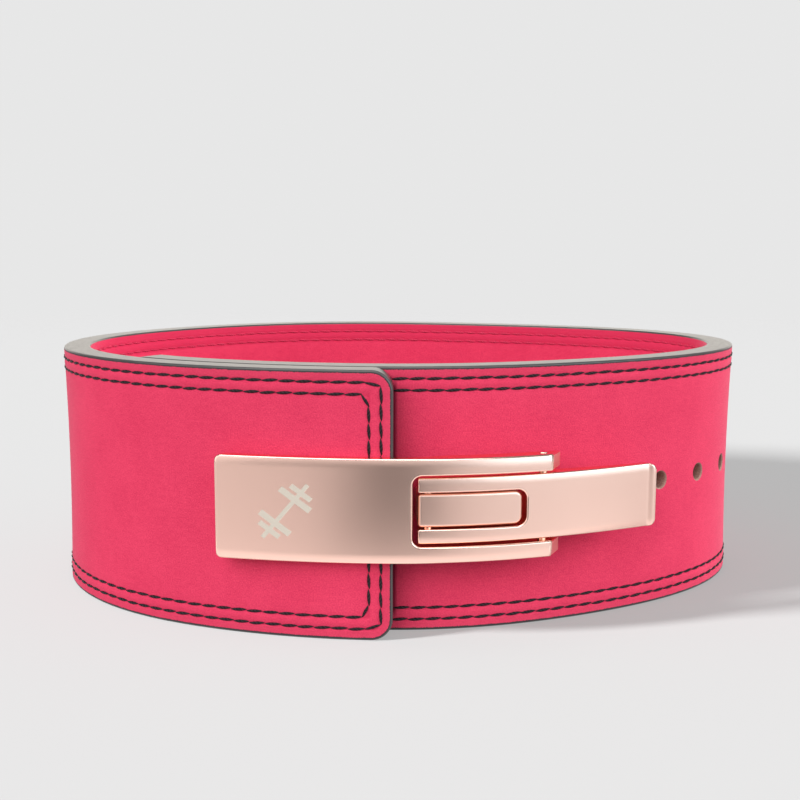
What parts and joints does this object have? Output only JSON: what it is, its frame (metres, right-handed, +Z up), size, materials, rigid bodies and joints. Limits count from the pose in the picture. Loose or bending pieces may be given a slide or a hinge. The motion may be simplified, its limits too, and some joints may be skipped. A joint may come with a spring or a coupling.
{
  "type": "weightlifting belt",
  "caption": "Wide leather weightlifting belt, fastened into a ring by a three-part metal lever buckle and standing on its lower edge.",
  "frame": {"origin": "middle of the bounding box, at the surface the belt stands on", "axes": "+Z up, across the width of the strap; the buckle faces -Y; +X is to the right seen from the front, towards the lever's tip"},
  "size_m": [0.2942, 0.2264, 0.1],
  "materials": {
    "suede_leather": "pink suede with a fine nap, dark grey painted edges and brown raw leather in the punched holes",
    "stitching": "black waxed thread",
    "rose_gold": "satin rose gold plating with polished edges",
    "screw_steel": "plain satin steel"
  },
  "bodies": {
    "root": {"strap": "suede_leather", "hook_plate": "rose_gold", "lever": "rose_gold", "mount_tongue": "rose_gold", "lever_pin": "rose_gold", "tongue_pin": "rose_gold", "tongue_screw_1": "screw_steel", "tongue_screw_2": "screw_steel"}
  },
  "joints": []
}
